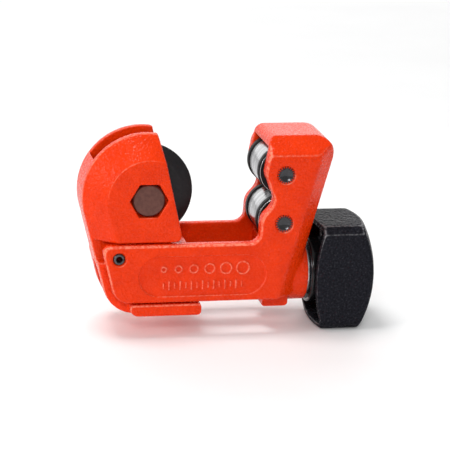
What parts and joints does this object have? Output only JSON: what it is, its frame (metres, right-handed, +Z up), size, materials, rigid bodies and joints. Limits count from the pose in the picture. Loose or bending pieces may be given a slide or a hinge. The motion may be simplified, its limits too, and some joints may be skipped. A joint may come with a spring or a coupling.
{
  "type": "pipe cutter",
  "caption": "Small screw-feed pipe cutter with a cutter wheel on a slide, two rollers in a cast frame and a black knob",
  "frame": {"origin": "under the middle of the tool, level with the lowest point of the knob", "axes": "+X along the feed, from the slide towards the knob; +Y across the tool along the pipe, away from the marked side; +Z up"},
  "size_m": [0.0644, 0.019, 0.0435],
  "materials": {
    "orange_paint": "powder-coated die casting, fine grain",
    "polished_steel": "turned",
    "black_rings": "smooth",
    "dark_steel": "black oxide",
    "bronze_head": "brown oxide",
    "zinc_steel": "zinc plated",
    "bronze": "machined",
    "knob_black": "black textured coat"
  },
  "bodies": {
    "frame_body": {"frame": "orange_paint", "upper_roller_pin": "dark_steel", "lower_roller_pin": "dark_steel", "upper_roller_washers": "zinc_steel", "lower_roller_washers": "zinc_steel", "front_stop_pin": "dark_steel", "rear_stop_pin": "dark_steel", "spindle_bush": "bronze", "thrust_washer": "zinc_steel", "spindle_washer": "zinc_steel"},
    "slide_body": {"slide": "orange_paint", "slide_nut": "bronze", "wheel_axle": "bronze_head", "axle_nut": "zinc_steel", "front_wheel_spacer": "zinc_steel", "rear_wheel_spacer": "zinc_steel"},
    "wheel_body": {"cutter_wheel": "dark_steel"},
    "upper_roller_body": {"upper_roller": "polished_steel", "upper_roller_rings": "black_rings"},
    "lower_roller_body": {"lower_roller": "polished_steel", "lower_roller_rings": "black_rings"},
    "knob_body": {"knob": "knob_black", "spindle": "zinc_steel", "retaining_ring": "dark_steel", "knob_pin": "dark_steel"}
  },
  "joints": [
    {"name": "knob_turn", "type": "hinge", "parent": "frame_body", "child": "knob_body", "pos_m": [0.02, 0, 0.0116], "axis": [-1, 0, 0], "range_deg": [-650, 4935]},
    {"name": "slide_feed", "type": "slide", "parent": "frame_body", "child": "slide_body", "axis": [1, 0, 0], "range_m": [-0.0018, 0.0137]},
    {"name": "wheel_spin", "type": "hinge", "parent": "slide_body", "child": "wheel_body", "pos_m": [-0.01865, 0, 0.0299], "axis": [0, 1, 0], "continuous": true},
    {"name": "upper_roller_spin", "type": "hinge", "parent": "frame_body", "child": "upper_roller_body", "pos_m": [0.01025, 0, 0.0352], "axis": [0, 1, 0], "continuous": true},
    {"name": "lower_roller_spin", "type": "hinge", "parent": "frame_body", "child": "lower_roller_body", "pos_m": [0.01025, 0, 0.0246], "axis": [0, 1, 0], "continuous": true}
  ],
  "couplings": [
    {"joint": "knob_turn", "follows": "slide_feed", "rad_per_m": 6283.2}
  ]
}
